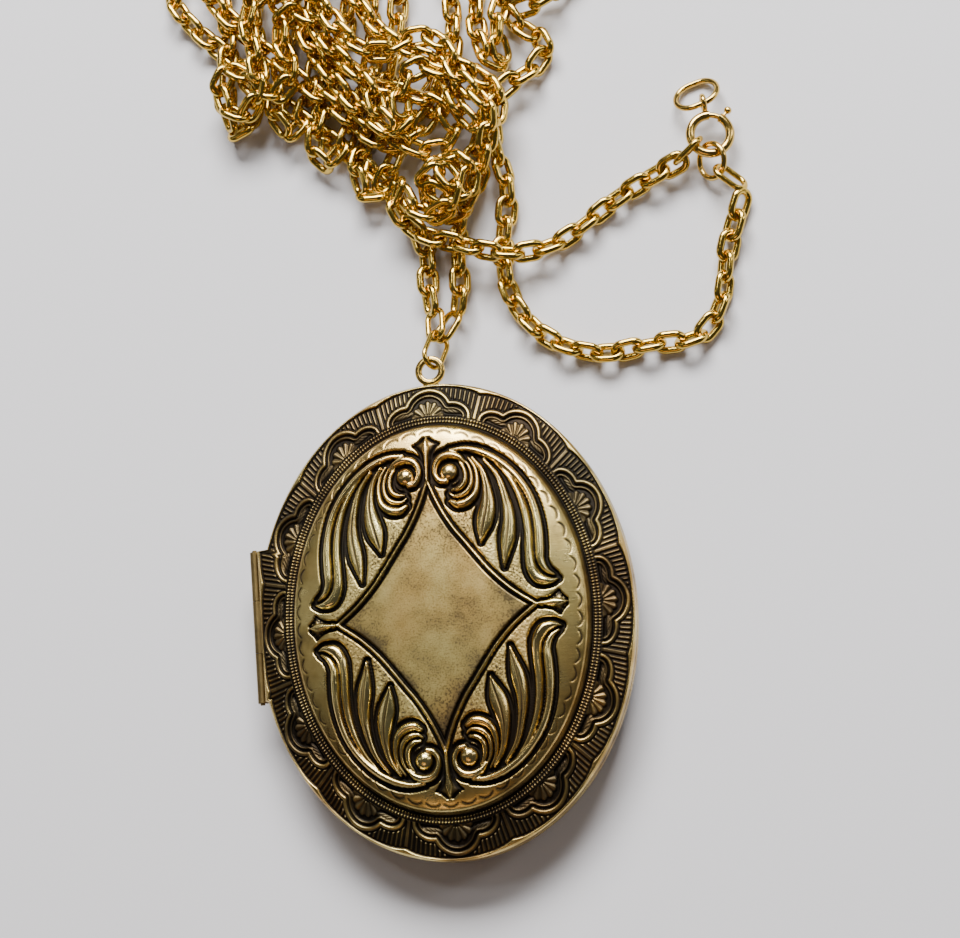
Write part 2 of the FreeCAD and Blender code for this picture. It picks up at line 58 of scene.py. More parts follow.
# soft boxes: name, place and size in metres, power in watts, what it points at, colour
LIGHTS = [
    ("back", (0.05, 0.5, 0.46), (0.5, 0.26), 13.0, BETWEEN_CHAIN_AND_LOCKET, WHITE),
    ("left_strip", (-0.5, 0.12, 0.4), (0.1, 0.4), 0.12, BETWEEN_CHAIN_AND_LOCKET, WHITE),
    ("right_strip", (0.5, 0.2, 0.3), (0.08, 0.4), 0.6, BETWEEN_CHAIN_AND_LOCKET, WHITE),
    ("top", (-0.15, 0.3, 0.68), (0.1, 0.1), 0.44, BETWEEN_CHAIN_AND_LOCKET, WHITE),
    ("warm_front", (-0.12, -0.42, 0.44), (0.36, 0.16), 0.36, LOCKET_MIDDLE, WARM),
]
SKY_COLOUR = (0.93, 0.96, 1.0, 1)
SKY_STRENGTH = 0.07
FLOOR_COLOUR = (0.68, 0.67, 0.69, 1)
FLOOR_ROUGHNESS = 0.7
FLOOR_HALF = 1.5  # metres


def make_camera():
    """Looks down on the locket from the lower right."""
    side = math.tan(math.radians(SIDE_LEAN))
    front = math.tan(math.radians(FRONT_LEAN))
    back = Vector((side, -front, 1.0)).normalized()
    level_up = (Vector((0, 1, 0)) - back.y * back).normalized()
    level_right = level_up.cross(back)
    roll = math.radians(CAMERA_ROLL)
    up = level_up * math.cos(roll) - level_right * math.sin(roll)
    right = up.cross(back)
    data = bpy.data.cameras.new("camera")
    data.lens = FOCAL_LENGTH
    data.sensor_width = SENSOR_WIDTH
    data.clip_start = NEAREST_SEEN * MM
    camera = bpy.data.objects.new("camera", data)
    bpy.context.scene.collection.objects.link(camera)
    turn = Matrix((right, up, back)).transposed().to_4x4()
    place = Vector(CAMERA_AIM) * MM + back * (CAMERA_DISTANCE * MM)
    camera.matrix_world = Matrix.Translation(place) @ turn
    bpy.context.scene.camera = camera


def make_light(name, place, size, power, aim, colour):
    """A soft box that points at its aim."""
    data = bpy.data.lights.new(name, "AREA")
    data.shape = "RECTANGLE"
    data.size, data.size_y = size
    data.energy = power
    data.color = colour
    lamp = bpy.data.objects.new(name, data)
    bpy.context.scene.collection.objects.link(lamp)
    lamp.location = Vector(place)
    lamp.rotation_euler = (Vector(aim) * MM - lamp.location).to_track_quat("-Z", "Y").to_euler()


def make_sky():
    """A faint even light from all round."""
    world = bpy.data.worlds.new("studio")
    world.use_nodes = True
    background = world.node_tree.nodes["Background"]
    background.inputs["Color"].default_value = SKY_COLOUR
    background.inputs["Strength"].default_value = SKY_STRENGTH
    bpy.context.scene.world = world


def make_floor():
    """The plain pale floor, which isn't part of the locket."""
    half = FLOOR_HALF
    verts = [(-half, -half, 0), (half, -half, 0), (half, half, 0), (-half, half, 0)]
    floor = mesh_object("floor", verts, [(0, 1, 2, 3)], smooth=False)
    material, _, shader = new_material("floor")
    shader.inputs["Base Color"].default_value = FLOOR_COLOUR
    shader.inputs["Roughness"].default_value = FLOOR_ROUGHNESS
    floor.data.materials.append(material)


# ---------------------------------------------------------------- material nodes
def new_material(name):
    """A node material, its tree and its shader."""
    material = bpy.data.materials.new(name)
    material.use_nodes = True
    return material, material.node_tree, material.node_tree.nodes["Principled BSDF"]


def feed(tree, socket, value):
    """Sets a socket to a number, or links another socket to it."""
    if isinstance(value, (int, float)):
        socket.default_value = value
    else:
        tree.links.new(value, socket)


def reckon(tree, operation, first, second):
    """A math node on two values or sockets."""
    made = tree.nodes.new("ShaderNodeMath")
    made.operation = operation
    feed(tree, made.inputs[0], first)
    feed(tree, made.inputs[1], second)
    return made.outputs[0]


def added(tree, first, *others):
    for other in others:
        first = reckon(tree, "ADD", first, other)
    return first


def scaled(tree, value, share):
    return reckon(tree, "MULTIPLY", value, share)


def noise(tree, scale, detail=2.0, stretch=None):
    """Noise on the object's own place, in metres; stretch scales its axes first."""
    place = tree.nodes.new("ShaderNodeTexCoord").outputs["Object"]
    if stretch:
        mapping = tree.nodes.new("ShaderNodeMapping")
        mapping.inputs["Scale"].default_value = stretch
        tree.links.new(place, mapping.inputs["Vector"])
        place = mapping.outputs["Vector"]
    made = tree.nodes.new("ShaderNodeTexNoise")
    made.inputs["Scale"].default_value = scale
    made.inputs["Detail"].default_value = detail
    tree.links.new(place, made.inputs["Vector"])
    return made.outputs["Fac"]


def attribute(tree, name):
    """A number carried on the mesh's points."""
    made = tree.nodes.new("ShaderNodeAttribute")
    made.attribute_name = name
    return made.outputs["Fac"]


def ramp(tree, factor, *stops):
    """A colour by a factor, from stops of a position and a colour."""
    made = tree.nodes.new("ShaderNodeValToRGB")
    while len(made.color_ramp.elements) < len(stops):
        made.color_ramp.elements.new(0.5)
    for element, (position, colour) in zip(made.color_ramp.elements, stops):
        element.position = position
        element.color = (*colour, 1)
    tree.links.new(factor, made.inputs["Fac"])
    return made.outputs["Color"]


def tinted(tree, colour, tint):
    """One colour multiplied by another."""
    made = tree.nodes.new("ShaderNodeMix")
    made.data_type = "RGBA"
    made.blend_type = "MULTIPLY"
    made.inputs["Factor"].default_value = 1.0
    first_colour, second_colour = made.inputs[6:8]
    tree.links.new(colour, first_colour)
    tree.links.new(tint, second_colour)
    return made.outputs[2]


def bump(tree, shader, height, strength, distance):
    """Roughens the surface by a height; distance is in metres."""
    made = tree.nodes.new("ShaderNodeBump")
    made.inputs["Strength"].default_value = strength
    made.inputs["Distance"].default_value = distance
    tree.links.new(height, made.inputs["Height"])
    tree.links.new(made.outputs["Normal"], shader.inputs["Normal"])


# ---------------------------------------------------------------- materials
def metal(name, bright, worn, rough, grain=2500, stretch=None, dirt=0.25):
    """A plated metal, worn in clouds, with fine marks in its roughness and surface."""
    material, tree, shader = new_material(name)
    cloud = noise(tree, scale=420, detail=4)
    mark = noise(tree, scale=grain, detail=3, stretch=stretch)
    crease = tree.nodes.new("ShaderNodeNewGeometry").outputs["Pointiness"]
    wear = added(tree, scaled(tree, cloud, dirt * 2), scaled(tree, mark, dirt))
    wear = reckon(tree, "SUBTRACT", wear, scaled(tree, reckon(tree, "SUBTRACT", crease, 0.5), 1.2))
    tree.links.new(ramp(tree, wear, (0.25, bright), (0.95, worn)), shader.inputs["Base Color"])
    shader.inputs["Metallic"].default_value = 1.0
    tree.links.new(added(tree, rough, scaled(tree, mark, 0.16)), shader.inputs["Roughness"])
    bump(tree, shader, mark, strength=0.1, distance=0.00006)
    return material


def antique_brass():
    """Brass plating with a dark patina in its hollows, painted shade low on the pillow and along
    its sides, and a painted highlight on its crests, mottled and lightly scratched.
    """
    material, tree, shader = new_material("antique_brass")
    patina_and_shade = attribute(tree, "patina_and_shade")
    matte = attribute(tree, "matte")
    cloud = noise(tree, scale=260, detail=7)
    speck = noise(tree, scale=4800, detail=2)
    fine = noise(tree, scale=9000, detail=1)
    scratch = noise(tree, scale=900, detail=3, stretch=(1.0, 14.0, 1.0))
    blotch = noise(tree, scale=95, detail=2)
    spots = reckon(tree, "MAXIMUM", reckon(tree, "SUBTRACT", speck, 0.47), 0.0)
    spots = scaled(tree, scaled(tree, matte, 2.2), spots)
    # the mottling fades where the patina and painted shade are already dark
    clear = reckon(tree, "SUBTRACT", 1.0, scaled(tree, patina_and_shade, 0.75))
    drift = scaled(tree, reckon(tree, "SUBTRACT", cloud, 0.46), scaled(tree, clear, 1.25))
    shade = added(tree, added(tree, patina_and_shade, 0.1), added(tree, drift, spots))
    colour = ramp(tree, shade, (0.0, (0.78, 0.63, 0.27)), (0.12, (0.61, 0.475, 0.19)),
                  (0.32, (0.41, 0.30, 0.105)), (0.54, (0.12, 0.088, 0.042)),
                  (0.88, (0.017, 0.014, 0.011)))
    blush = ramp(tree, blotch, (0.42, (0.97, 1.0, 0.97)), (0.64, (1.0, 0.87, 0.76)))
    tree.links.new(tinted(tree, colour, blush), shader.inputs["Base Color"])
    shader.inputs["Metallic"].default_value = 1.0
    rough = added(tree, 0.19, scaled(tree, shade, 0.3), scaled(tree, matte, 0.12),
                  scaled(tree, scratch, 0.08))
    tree.links.new(rough, shader.inputs["Roughness"])
    bump(tree, shader, added(tree, fine, spots, scratch), strength=0.14, distance=0.00008)
    return material


def paper():
    """Blank cream card with faint fibres."""
    material, tree, shader = new_material("blank_card")
    fibre = noise(tree, scale=1400, detail=6, stretch=(1.0, 6.0, 1.0))
    cloud = noise(tree, scale=90, detail=3)
    tone = added(tree, scaled(tree, fibre, 0.6), scaled(tree, cloud, 0.4))
    colour = ramp(tree, tone, (0.3, (0.80, 0.76, 0.66)), (0.75, (0.90, 0.87, 0.79)))
    tree.links.new(colour, shader.inputs["Base Color"])
    tree.links.new(added(tree, 0.7, scaled(tree, fibre, 0.2)), shader.inputs["Roughness"])
    bump(tree, shader, fibre, strength=0.25, distance=0.0001)
    return material


def clear_film():
    """Thin clear plastic with a few faint rubs."""
    material, tree, shader = new_material("clear_window")
    rub = noise(tree, scale=420, detail=4, stretch=(1.0, 2.5, 1.0))
    colour = ramp(tree, rub, (0.3, (0.96, 0.97, 0.97)), (0.8, (0.90, 0.92, 0.93)))
    tree.links.new(colour, shader.inputs["Base Color"])
    shader.inputs["Alpha"].default_value = 0.14
    shader.inputs["IOR"].default_value = 1.45
    tree.links.new(scaled(tree, rub, 0.12), shader.inputs["Roughness"])
    bump(tree, shader, rub, strength=0.005, distance=0.00002)
    return material


BRASS = antique_brass()
GOLD = metal("chain_gold", (0.66, 0.44, 0.085), (0.19, 0.105, 0.016), rough=0.1)
BRIGHT_GOLD = metal("bright_gold", (0.70, 0.47, 0.12), (0.26, 0.14, 0.03), rough=0.1)
INNER_BRASS = metal("inner_brass", (0.74, 0.55, 0.24), (0.36, 0.24, 0.09), rough=0.3, grain=1200,
                    stretch=(1.0, 10.0, 1.0))
SIDE_BRASS = metal("hinge_brass", (0.27, 0.19, 0.075), (0.05, 0.032, 0.014), rough=0.3, grain=1800,
                   dirt=0.4)
STEEL = metal("spring_steel", (0.62, 0.61, 0.58), (0.25, 0.24, 0.22), rough=0.22)
CARD = paper()
FILM = clear_film()

NODE_MATERIALS = [
    (INNER_BRASS, ["rear_liner", "front_liner", "rear_photo_frame", "front_photo_frame",
                   "snap_catch"]),
    (SIDE_BRASS, ["rear_hinge_knuckles", "front_hinge_knuckle", "hinge_pin"]),
    (BRIGHT_GOLD, ["bail_loop", "clasp_body", "clasp_bolt", "clasp_trigger", "clasp_eye",
                   "clasp_ring", "chain_end_ring"]),
    (GOLD, ["pendant_ring", "lead_link_left", "lead_link_right", "clasp_end_link",
            "ring_end_link"]),
    (STEEL, ["clasp_spring"]),
    (CARD, ["rear_photo_card", "front_photo_card"]),
    (FILM, ["rear_photo_window", "front_photo_window"]),
]


def finish_node(node, material):
    """Gives a CAD node its material."""
    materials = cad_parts[node].data.materials
    materials.clear()
    materials.append(material)


# ---------------------------------------------------------------- chain
LINK_HALF_STRAIGHT = 0.6
LINK_END = 0.94
LINK_WIRE = 0.42
LINK_PITCH = 2.3
LINK_POINTS = 26
WIRE_SIDES = 8
LINK_ROLLS = (-42, 48)
ROLL_SLACK = 13
LEFT_SEED = 4
RIGHT_SEED = 9

LEFT_STRAND = [
    # out of the left lead link and up under the heap's left edge
    (0.2, 34.6, 1.7), (-0.2, 37.4, 1.75), (0.2, 41.5, 1.4), (-2.2, 47.5, 1.25), (-7.5, 53.5, 1.25),
    (-14.5, 60.0, 1.25), (-20.0, 66.0, 1.25), (-25.4, 71.4, 1.35), (-28.2, 75.6, 1.35),
    # the fold past the view and the far left lobe
    (-26.4, 79.6, 1.4), (-22.4, 78.0, 1.6), (-21.0, 72.0, 1.6), (-21.2, 65.5, 2.8),
    (-22.2, 60.6, 2.0), (-20.4, 57.6, 1.6), (-18.2, 61.0, 2.6), (-17.8, 67.5, 1.8),
    (-18.4, 74.0, 1.4), (-17.0, 79.0, 1.4), (-13.6, 78.0, 1.4), (-13.8, 71.5, 1.4),
    (-15.4, 64.0, 1.6), (-16.4, 59.2, 2.8), (-14.2, 56.6, 2.0), (-12.2, 60.0, 2.2),
    (-10.6, 67.0, 1.4), (-10.8, 74.0, 1.4), (-9.2, 79.0, 1.4), (-6.4, 76.5, 1.4),
    # the middle lobes
    (-7.4, 69.5, 1.4), (-9.2, 62.5, 1.4), (-11.8, 56.4, 2.9), (-11.6, 53.0, 1.8),
    (-8.8, 53.6, 2.6), (-6.6, 59.0, 1.4), (-4.2, 65.5, 1.4), (-4.6, 72.0, 1.4), (-3.4, 77.2, 1.4),
    (-0.6, 76.0, 1.4), (-1.4, 69.5, 1.5), (-2.6, 62.5, 1.4), (-5.4, 56.0, 1.4), (-7.4, 51.0, 2.8),
    (-5.6, 47.8, 1.8), (-3.2, 51.2, 2.6), (-0.8, 57.0, 1.4), (2.4, 61.8, 1.4), (6.6, 62.0, 1.4),
    (8.6, 57.6, 1.6),
    # down the right edge and round the open loop to the end ring
    (8.4, 52.6, 2.4), (9.9, 47.2, 1.5), (8.3, 40.8, 1.4), (8.8, 34.8, 1.3), (12.3, 29.9, 1.3),
    (18.2, 27.2, 1.3), (24.2, 27.9, 1.3), (29.6, 27.6, 1.3), (32.3, 32.2, 1.3), (32.8, 37.4, 1.3),
    (35.5, 43.4, 1.6),
]
RIGHT_STRAND = [
    # out of the right lead link and up the heap's right side
    (3.0, 34.2, 1.5), (3.6, 36.8, 1.6), (3.4, 41.5, 1.4), (4.6, 47.0, 1.3), (6.4, 53.0, 1.3),
    (9.6, 58.4, 3.0), (13.6, 60.4, 1.6), (15.4, 63.2, 1.4), (12.4, 65.6, 1.4), (11.0, 67.6, 1.5),
    (15.2, 67.8, 2.6), (18.6, 70.6, 1.6), (17.4, 74.4, 1.4), (13.4, 74.8, 1.4), (11.4, 70.6, 1.4),
    (9.6, 65.6, 2.8), (10.4, 61.4, 1.4), (8.0, 62.6, 3.0), (7.4, 68.5, 1.6), (8.4, 74.5, 1.4),
    (6.4, 78.0, 1.4), (4.4, 74.5, 1.4), (5.0, 67.5, 1.6), (4.2, 60.5, 3.0),
    # across the left branch and back, over the folds
    (0.6, 54.5, 3.0), (-3.6, 53.4, 3.6), (-8.0, 58.0, 3.0), (-13.6, 63.6, 3.1), (-19.0, 69.4, 3.1),
    (-23.6, 75.0, 3.0), (-21.8, 79.4, 2.9), (-17.8, 77.0, 3.0), (-14.6, 71.6, 3.1),
    (-9.6, 65.8, 3.1), (-4.4, 60.8, 3.1), (1.2, 58.4, 4.2), (5.2, 55.0, 3.2), (2.6, 51.6, 3.0),
    (-1.8, 53.6, 4.4), (-6.4, 58.4, 4.4), (-10.4, 64.6, 4.4), (-12.6, 71.4, 3.8),
    (-10.2, 76.6, 3.2), (-6.6, 73.4, 3.4), (-3.8, 67.4, 4.2), (0.6, 63.2, 4.4), (5.6, 61.2, 4.4),
    (9.6, 58.4, 4.4), (9.8, 54.6, 4.6),
    # a looser run that wanders over the heap's top to the far left lobe and back
    (7.4, 53.4, 4.9), (5.2, 56.6, 5.0), (4.2, 60.8, 5.0), (0.6, 61.8, 5.0), (-1.2, 58.4, 5.2),
    (-0.4, 54.8, 5.2), (-3.2, 55.4, 5.2), (-4.0, 59.8, 5.2), (-6.4, 62.6, 5.2), (-8.8, 65.6, 5.2),
    (-10.4, 69.2, 5.0), (-13.4, 70.6, 4.8), (-14.6, 67.2, 4.8), (-12.8, 63.8, 4.9),
    (-14.6, 60.6, 4.6), (-18.0, 61.8, 4.4), (-19.8, 65.2, 4.2), (-22.0, 63.6, 4.0),
    (-21.4, 60.2, 3.9), (-18.6, 59.0, 4.1), (-16.6, 62.6, 5.4), (-17.6, 67.2, 5.0),
    (-18.2, 71.6, 4.8), (-14.6, 74.4, 4.8), (-10.2, 72.4, 5.0), (-8.2, 68.8, 5.4),
    (-6.4, 65.6, 5.6), (-3.0, 63.4, 5.2), (0.2, 65.2, 4.6), (3.4, 65.0, 4.6), (5.0, 62.0, 5.2),
    (6.4, 58.4, 5.6), (9.0, 56.0, 5.6), (8.6, 52.4, 5.0),
    # the curl above the pendant
    (6.8, 48.6, 3.0), (4.6, 44.8, 3.0), (1.4, 45.2, 3.0), (0.6, 48.8, 3.2), (3.2, 51.4, 4.4),
    (6.4, 49.6, 4.6), (5.6, 46.2, 4.5), (2.4, 46.6, 4.4), (1.0, 48.6, 5.2), (3.6, 49.4, 5.4),
    (4.6, 46.8, 5.2), (2.6, 44.2, 4.6), (-0.6, 45.4, 4.4), (-1.8, 49.0, 4.2), (-3.0, 46.2, 3.2),
    (0.0, 42.8, 2.9), (4.0, 41.4, 3.2),
    # over the loop and along the open stretch to the clasp
    (6.2, 40.3, 3.7), (8.4, 39.6, 3.7), (11.0, 39.4, 2.8), (14.6, 40.2, 1.5), (18.4, 42.5, 1.3),
    (22.8, 45.3, 1.3), (28.2, 47.2, 2.0),
]


def route_line(name, points):
    """The strand's smooth centre line, read from a NURBS spline with these control points."""
    curve = bpy.data.curves.new(name, "CURVE")
    curve.dimensions = "3D"
    curve.resolution_u = 16
    spline = curve.splines.new("NURBS")
    spline.points.add(len(points) - 1)
    for point, place in zip(spline.points, points):
        point.co = (place[0] * MM, place[1] * MM, place[2] * MM, 1.0)
    spline.order_u = 3
    spline.use_endpoint_u = True
    holder = bpy.data.objects.new(name, curve)
    bpy.context.scene.collection.objects.link(holder)
    bpy.context.view_layer.update()
    mesh = bpy.data.meshes.new_from_object(holder)
    line = [vertex.co.copy() for vertex in mesh.vertices]
    bpy.data.objects.remove(holder)
    bpy.data.meshes.remove(mesh)
    return line


def stations(line, pitch):
    """Places a pitch apart along a line, with the direction there."""
    found = []
    walked = 0.0
    following = pitch / 2
    for start, end in zip(line, line[1:]):
        length = (end - start).length
        while length > 0 and following <= walked + length:
            share = (following - walked) / length
            found.append((start.lerp(end, share), (end - start).normalized()))
            following += pitch
        walked += length
    return found, walked


def oval_path(half_straight, end, count):
    """Points round a ring with two straight sides along X and two half-round ends."""
    total = 4 * half_straight + 2 * math.pi * end
    points = []
    for index in range(count):
        along = total * index / count
        if along < math.pi * end:
            angle = -math.pi / 2 + along / end
            points.append((half_straight + end * math.cos(angle), end * math.sin(angle)))
        elif along < math.pi * end + 2 * half_straight:
            points.append((half_straight - (along - math.pi * end), end))
        elif along < 2 * math.pi * end + 2 * half_straight:
            angle = math.pi / 2 + (along - math.pi * end - 2 * half_straight) / end
            points.append((-half_straight + end * math.cos(angle), end * math.sin(angle)))
        else:
            points.append((-half_straight + (along - 2 * math.pi * end - 2 * half_straight), -end))
    return points


def wire_ring(path, wire, sides):
    """Vertices and faces of a closed round wire bent round a flat path."""
    count = len(path)
    verts = []
    for index, (x, y) in enumerate(path):
        before = path[index - 1]
        after = path[(index + 1) % count]
        out = Vector((after[1] - before[1], before[0] - after[0], 0)).normalized()
        for side in range(sides):
            turn = 2 * math.pi * (side + 0.5) / sides
            lift = Vector((0, 0, wire * math.sin(turn)))
            verts.append(Vector((x, y, 0)) + out * (wire * math.cos(turn)) + lift)
    return verts, ring_faces(count, sides)


def ring_faces(count, sides):
    """Quads of a closed ring of count sections with sides points each."""
    faces = []
    for index in range(count):
        following = (index + 1) % count
        for side in range(sides):
            other = (side + 1) % sides
            faces.append((index * sides + side, following * sides + side,
                          following * sides + other, index * sides + other))
    return faces


def mesh_object(name, verts, faces, smooth=True):
    """A mesh object in the scene, with its points in metres."""
    mesh = bpy.data.meshes.new(name)
    mesh.from_pydata([tuple(vert) for vert in verts], [], faces)
    mesh.validate()
    if smooth:
        mesh.shade_smooth()
    piece = bpy.data.objects.new(name, mesh)
    bpy.context.scene.collection.objects.link(piece)
    return piece


def make_strand(name, points, seed, nodes):
    """Interlocked oval links along the route, each turned a quarter from the one before."""
    line = route_line(f"{name}_route", points)
    places, length = stations(line, LINK_PITCH * MM)
    path = oval_path(LINK_HALF_STRAIGHT, LINK_END, LINK_POINTS)
    link_verts, link_faces = wire_ring(path, LINK_WIRE, WIRE_SIDES)
    chance = random.Random(seed)
    verts = []
    faces = []
    for number, (place, along) in enumerate(places):
        side = Vector((0, 0, 1)).cross(along).normalized()
        upright = along.cross(side)
        roll = math.radians(LINK_ROLLS[number % 2] + chance.uniform(-ROLL_SLACK, ROLL_SLACK))
        turn = Matrix((along, side, upright)).transposed()
        turn = Matrix.Rotation(roll, 3, along) @ turn
        base = len(verts)
        verts += [place + turn @ (vert * MM) for vert in link_verts]
        faces += [tuple(base + index for index in face) for face in link_faces]
    piece = mesh_object(name, verts, faces)
    piece.data.materials.append(GOLD)
    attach(piece, "rear_half")
    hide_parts(*nodes)


# ---------------------------------------------------------------- the covers' measures
# levels are away from the parting plane; two numbers are the half width and half length of an oval
PARTING = 4.6
EDGE_LEVEL = 0.03
RIM, RIM_LEVEL = np.array([20.5, 25.4]), 1.2
BAND, BAND_LEVEL = np.array([17.25, 21.75]), 2.0
FOOT, FOOT_LEVEL = np.array([16.2, 20.8]), 2.0
WALL, WALL_LEVEL = np.array([15.85, 20.45]), 2.8
PILLOW_RISE = 1.8
DOME_FLATNESS = 2.6
DOME_ROUNDNESS = 0.5
SHEET = 0.6
HINGE_SEAT = 20.1
HINGE_HALF = 8.2
HINGE_MIDDLE = 1.4

# points of a front cover's mesh, and the rear cover's share of them
PILLOW_GRID = 306
BEADS = 352
BEAD_POINTS = 6
BEAD_ROWS = 15
BORDER_COLUMNS = 1740
BORDER_ROWS = 46
REAR_DETAIL = 0.7
PILLOW_SEED = 11


# ---------------------------------------------------------------- lines and reliefs
def smooth_curve(points, steps=7):
    """A smooth line through points; every value of a point is carried along it."""
    points = np.array(points, dtype=float)
    padded = np.vstack([2 * points[0] - points[1], points, 2 * points[-1] - points[-2]])
    line = []
    for index in range(len(points) - 1):
        before, start, end, after = padded[index:index + 4]
        for share in np.linspace(0, 1, steps, endpoint=False):
            line.append(0.5 * (2 * start + (end - before) * share
                               + (2 * before - 5 * start + 4 * end - after) * share ** 2
                               + (3 * start - before - 3 * end + after) * share ** 3))
    line.append(points[-1])
    return np.array(line)


def nearest(x, y, line, reach=1.4):
    """Distance from each place to a line, and its half width there; far places keep reach."""
    distance = np.full(x.shape, reach)
    width = np.full(x.shape, 0.1)
    low = line[:, :2].min(axis=0) - reach
    high = line[:, :2].max(axis=0) + reach
    near = (x > low[0]) & (x < high[0]) & (y > low[1]) & (y < high[1])
    px, py = x[near], y[near]
    best = distance[near]
    wide = width[near]
    for start, end in zip(line, line[1:]):
        run = end - start
        length = max(run[0] ** 2 + run[1] ** 2, 1e-9)
        share = np.clip(((px - start[0]) * run[0] + (py - start[1]) * run[1]) / length, 0, 1)
        away = np.hypot(px - start[0] - share * run[0], py - start[1] - share * run[1])
        closer = away < best
        best = np.where(closer, away, best)
        wide = np.where(closer, start[2] + share * run[2], wide)
    distance[near] = best
    width[near] = wide
    return distance, width


def ease(value, start, end):
    """0 before start, 1 after end, smooth between."""
    share = np.clip((value - start) / (end - start), 0, 1)
    return share * share * (3 - 2 * share)


def rounded(distance, width):
    """A half-round section, 1 on its line and 0 from its half width on."""
    return np.sqrt(np.clip(1 - (distance / np.maximum(width, 0.02)) ** 2, 0, 1))


def largest(*values):
    """The largest of several arrays, place by place."""
    return np.maximum.reduce(values)


def ellipse_lap(x, y, axes, count):
    """Place round an ellipse, in laps of count by arc length, from its top."""
    angle = np.linspace(0, 2 * math.pi, 721)
    speed = np.hypot(axes[0] * np.cos(angle), axes[1] * np.sin(angle))
    walked = np.concatenate([[0], np.cumsum((speed[1:] + speed[:-1]) / 2)])
    here = np.arctan2(x / axes[0], y / axes[1]) % (2 * math.pi)
    return count * np.interp(here, angle, walked / walked[-1])


def even_turns(axes, count):
    """Angles that divide an ellipse evenly by arc length."""
    angle = np.linspace(0, 2 * math.pi, 1441)
    speed = np.hypot(axes[0] * np.cos(angle), axes[1] * np.sin(angle))
    walked = np.concatenate([[0], np.cumsum((speed[1:] + speed[:-1]) / 2)])
    return np.interp(np.arange(count) / count, walked / walked[-1], angle)


def ring_points(turns, axes, level):
    """Places round an ellipse at a level."""
    x = axes[0] * np.sin(turns)
    y = axes[1] * np.cos(turns)
    return x, y, np.full(x.shape, level)


def disc_grid(count):
    """A square grid bent evenly over the unit disc."""
    side = np.linspace(-1, 1, count)
    a, b = np.meshgrid(side, side)
    wide = np.abs(a) > np.abs(b)
    safe_a = np.where(a == 0, 1, a)
    safe_b = np.where(b == 0, 1, b)
    radius = np.where(wide, a, b)
    angle = np.where(wide, math.pi / 4 * b / safe_a, math.pi / 2 - math.pi / 4 * a / safe_b)
    radius = np.where((a == 0) & (b == 0), 0, radius)
    return (radius * np.cos(angle)).ravel(), (radius * np.sin(angle)).ravel()


def grid_faces(rows, columns, closed):
    """Quads of a grid; a closed grid joins its last column to its first."""
    row = np.arange(rows - 1)[:, None]
    column = np.arange(columns if closed else columns - 1)[None, :]
    after = (column + 1) % columns
    corners = [row * columns + column, (row + 1) * columns + column,
               (row + 1) * columns + after, row * columns + after]
    return np.stack([np.broadcast_to(corner, (rows - 1, column.shape[1])) for corner in corners],
                    axis=-1).reshape(-1, 4)


def relief_mesh(name, verts, faces, dark, matte, side):
    """A mesh object on one cover, from heights above the parting plane, with its patina and painted
    shade.
    """
    verts = verts.copy()
    verts[:, 2] = PARTING + side * verts[:, 2]
    faces = faces if side > 0 else faces[:, ::-1]
    mesh = bpy.data.meshes.new(name)
    mesh.vertices.add(len(verts))
    mesh.vertices.foreach_set("co", (verts * MM).astype(np.float32).ravel())
    mesh.loops.add(faces.size)
    mesh.loops.foreach_set("vertex_index", faces.astype(np.int32).ravel())
    mesh.polygons.add(len(faces))
    mesh.polygons.foreach_set("loop_start", np.arange(0, faces.size, 4, dtype=np.int32))
    mesh.update(calc_edges=True)
    mesh.validate()
    mesh.shade_smooth()
    for layer_name, values in (("patina_and_shade", dark), ("matte", matte)):
        layer = mesh.attributes.new(layer_name, "FLOAT", "POINT")
        layer.data.foreach_set("value", values.astype(np.float32))
    piece = bpy.data.objects.new(name, mesh)
    bpy.context.scene.collection.objects.link(piece)
    return piece


# ---------------------------------------------------------------- the pillow's ornament
# Ridges of one quarter of the pillow: x and y from the middle, and half width.
SCROLL_BALL = (2.4, 15.05, 1.0)
VOLUTE = [(4.1, 15.9, 0.2), (3.6, 16.5, 0.32), (2.6, 16.9, 0.4), (1.6, 16.7, 0.38),
          (0.98, 15.95, 0.32), (0.88, 15.0, 0.28), (1.35, 14.2, 0.3), (2.0, 14.0, 0.3)]
CURL = [
    [(3.55, 16.0, 0.14), (4.0, 15.3, 0.22), (4.15, 14.4, 0.25), (3.95, 13.6, 0.27),
     (3.35, 13.1, 0.25), (2.6, 13.0, 0.14)],
    [(4.0, 16.3, 0.12), (4.6, 15.3, 0.17), (4.8, 14.2, 0.2), (4.55, 13.1, 0.25),
     (3.85, 12.45, 0.27), (2.9, 12.3, 0.2), (2.35, 12.65, 0.12)],
    [(4.5, 16.4, 0.12), (5.2, 15.2, 0.18), (5.4, 13.8, 0.25), (5.1, 12.4, 0.34),
     (4.25, 11.6, 0.42), (3.2, 11.4, 0.4), (2.45, 11.8, 0.24)],
]
LEAF_A = [(5.0, 16.3, 0.16), (6.0, 14.7, 0.3), (6.4, 12.7, 0.52), (6.3, 10.9, 0.86),
          (5.95, 9.4, 0.94), (5.65, 8.2, 0.6), (5.4, 7.0, 0.04)]
LEAF_B = [(6.2, 16.0, 0.16), (7.6, 13.9, 0.3), (8.3, 11.4, 0.46), (8.5, 9.3, 0.66),
          (8.25, 7.3, 0.8), (7.95, 5.7, 0.5), (7.7, 4.1, 0.04)]
